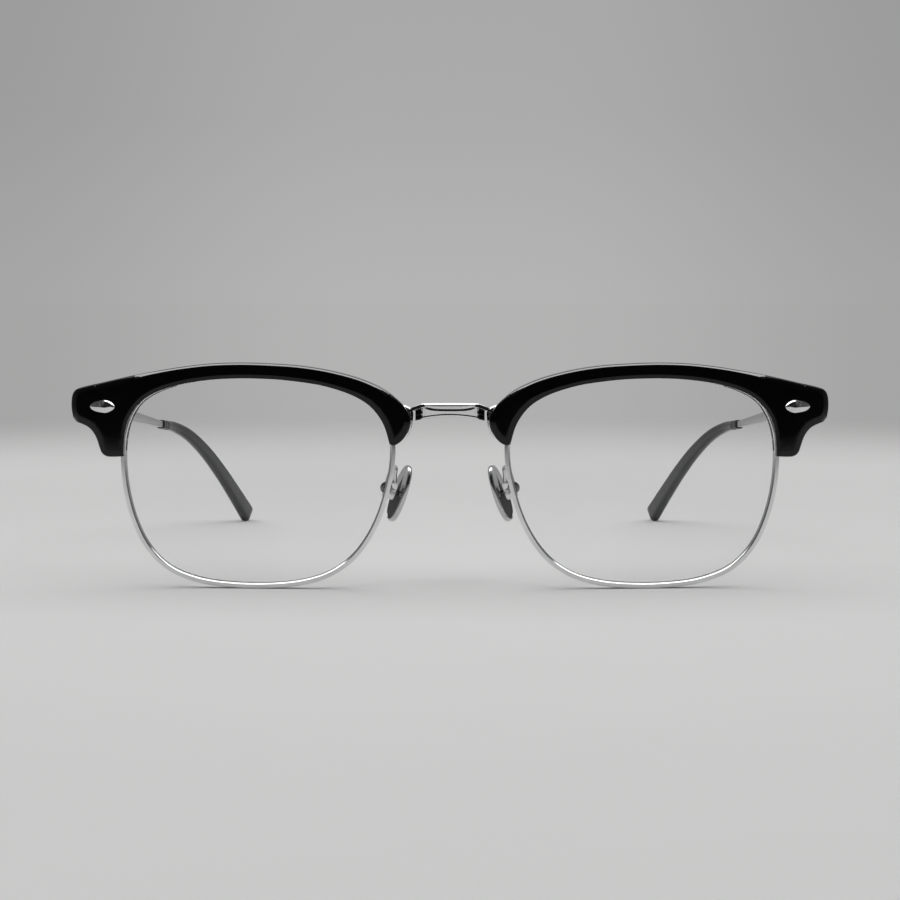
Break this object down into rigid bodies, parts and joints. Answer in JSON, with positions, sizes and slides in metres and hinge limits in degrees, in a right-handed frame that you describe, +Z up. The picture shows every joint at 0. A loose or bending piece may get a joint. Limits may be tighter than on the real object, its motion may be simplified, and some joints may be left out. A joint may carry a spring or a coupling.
{
  "type": "browline eyeglasses",
  "caption": "Browline glasses: black upper brows over thin metal rims, clear lenses, metal bridge, rocking nose pads and folding temples with bent grey tips.",
  "frame": {"origin": "on the floor under the middle of the glasses' box, between the front and the temple tips", "axes": "+Z up, front faces -Y, temples run towards +Y, +X is the wearer's left"},
  "size_m": [0.1424, 0.1386, 0.0422],
  "materials": {
    "polished_metal": "polished silver-coloured metal",
    "satin_metal": "satin",
    "screw_steel": "turned steel",
    "dark_metal": "dark satin",
    "black_acetate": "polished black acetate",
    "grey_acetate": "polished dark grey acetate",
    "pad_titanium": "satin face with a polished edge",
    "lens": "clear, coated"
  },
  "bodies": {
    "front": {"rim_right": "polished_metal", "rim_left": "polished_metal", "lens_right": "lens", "lens_left": "lens", "brow_right": "black_acetate", "brow_left": "black_acetate", "plaque_right": "polished_metal", "plaque_left": "polished_metal", "bridge": "polished_metal", "rim_lock_upper_right": "satin_metal", "rim_lock_upper_left": "satin_metal", "rim_lock_lower_right": "satin_metal", "rim_lock_lower_left": "satin_metal", "rim_lock_screw_right": "screw_steel", "rim_lock_screw_left": "screw_steel", "brow_lug_right": "satin_metal", "brow_lug_left": "satin_metal", "brow_screws_right": "screw_steel", "brow_screws_left": "screw_steel", "hinge_front_right": "satin_metal", "hinge_front_left": "satin_metal", "hinge_screw_right": "screw_steel", "hinge_screw_left": "screw_steel", "pad_arm_right": "polished_metal", "pad_arm_left": "polished_metal", "pad_box_right": "satin_metal", "pad_box_left": "satin_metal", "pad_screw_right": "screw_steel", "pad_screw_left": "screw_steel"},
    "temple_right": {"temple_right": "polished_metal", "hinge_temple_right": "satin_metal", "tip_collar_right": "dark_metal", "temple_tip_right": "grey_acetate"},
    "temple_left": {"temple_left": "polished_metal", "hinge_temple_left": "satin_metal", "tip_collar_left": "dark_metal", "temple_tip_left": "grey_acetate"},
    "pad_right": {"nose_pad_right": "pad_titanium", "pad_lug_right": "satin_metal"},
    "pad_left": {"nose_pad_left": "pad_titanium", "pad_lug_left": "satin_metal"}
  },
  "joints": [
    {"name": "temple_fold_right", "type": "hinge", "parent": "front", "child": "temple_right", "pos_m": [-0.0649, -0.0559, 0.0342], "axis": [0, 0, -1], "range_deg": [0, 85]},
    {"name": "temple_fold_left", "type": "hinge", "parent": "front", "child": "temple_left", "pos_m": [0.0649, -0.0559, 0.0342], "axis": [0, 0, 1], "range_deg": [0, 81]},
    {"name": "pad_rock_right", "type": "hinge", "parent": "front", "child": "pad_right", "pos_m": [-0.01132, -0.05726, 0.01763], "axis": [-0.3694, 0.9205, 0.1272], "range_deg": [-8, 8]},
    {"name": "pad_rock_left", "type": "hinge", "parent": "front", "child": "pad_left", "pos_m": [0.01132, -0.05726, 0.01763], "axis": [0.3694, 0.9205, 0.1272], "range_deg": [-8, 8]}
  ]
}
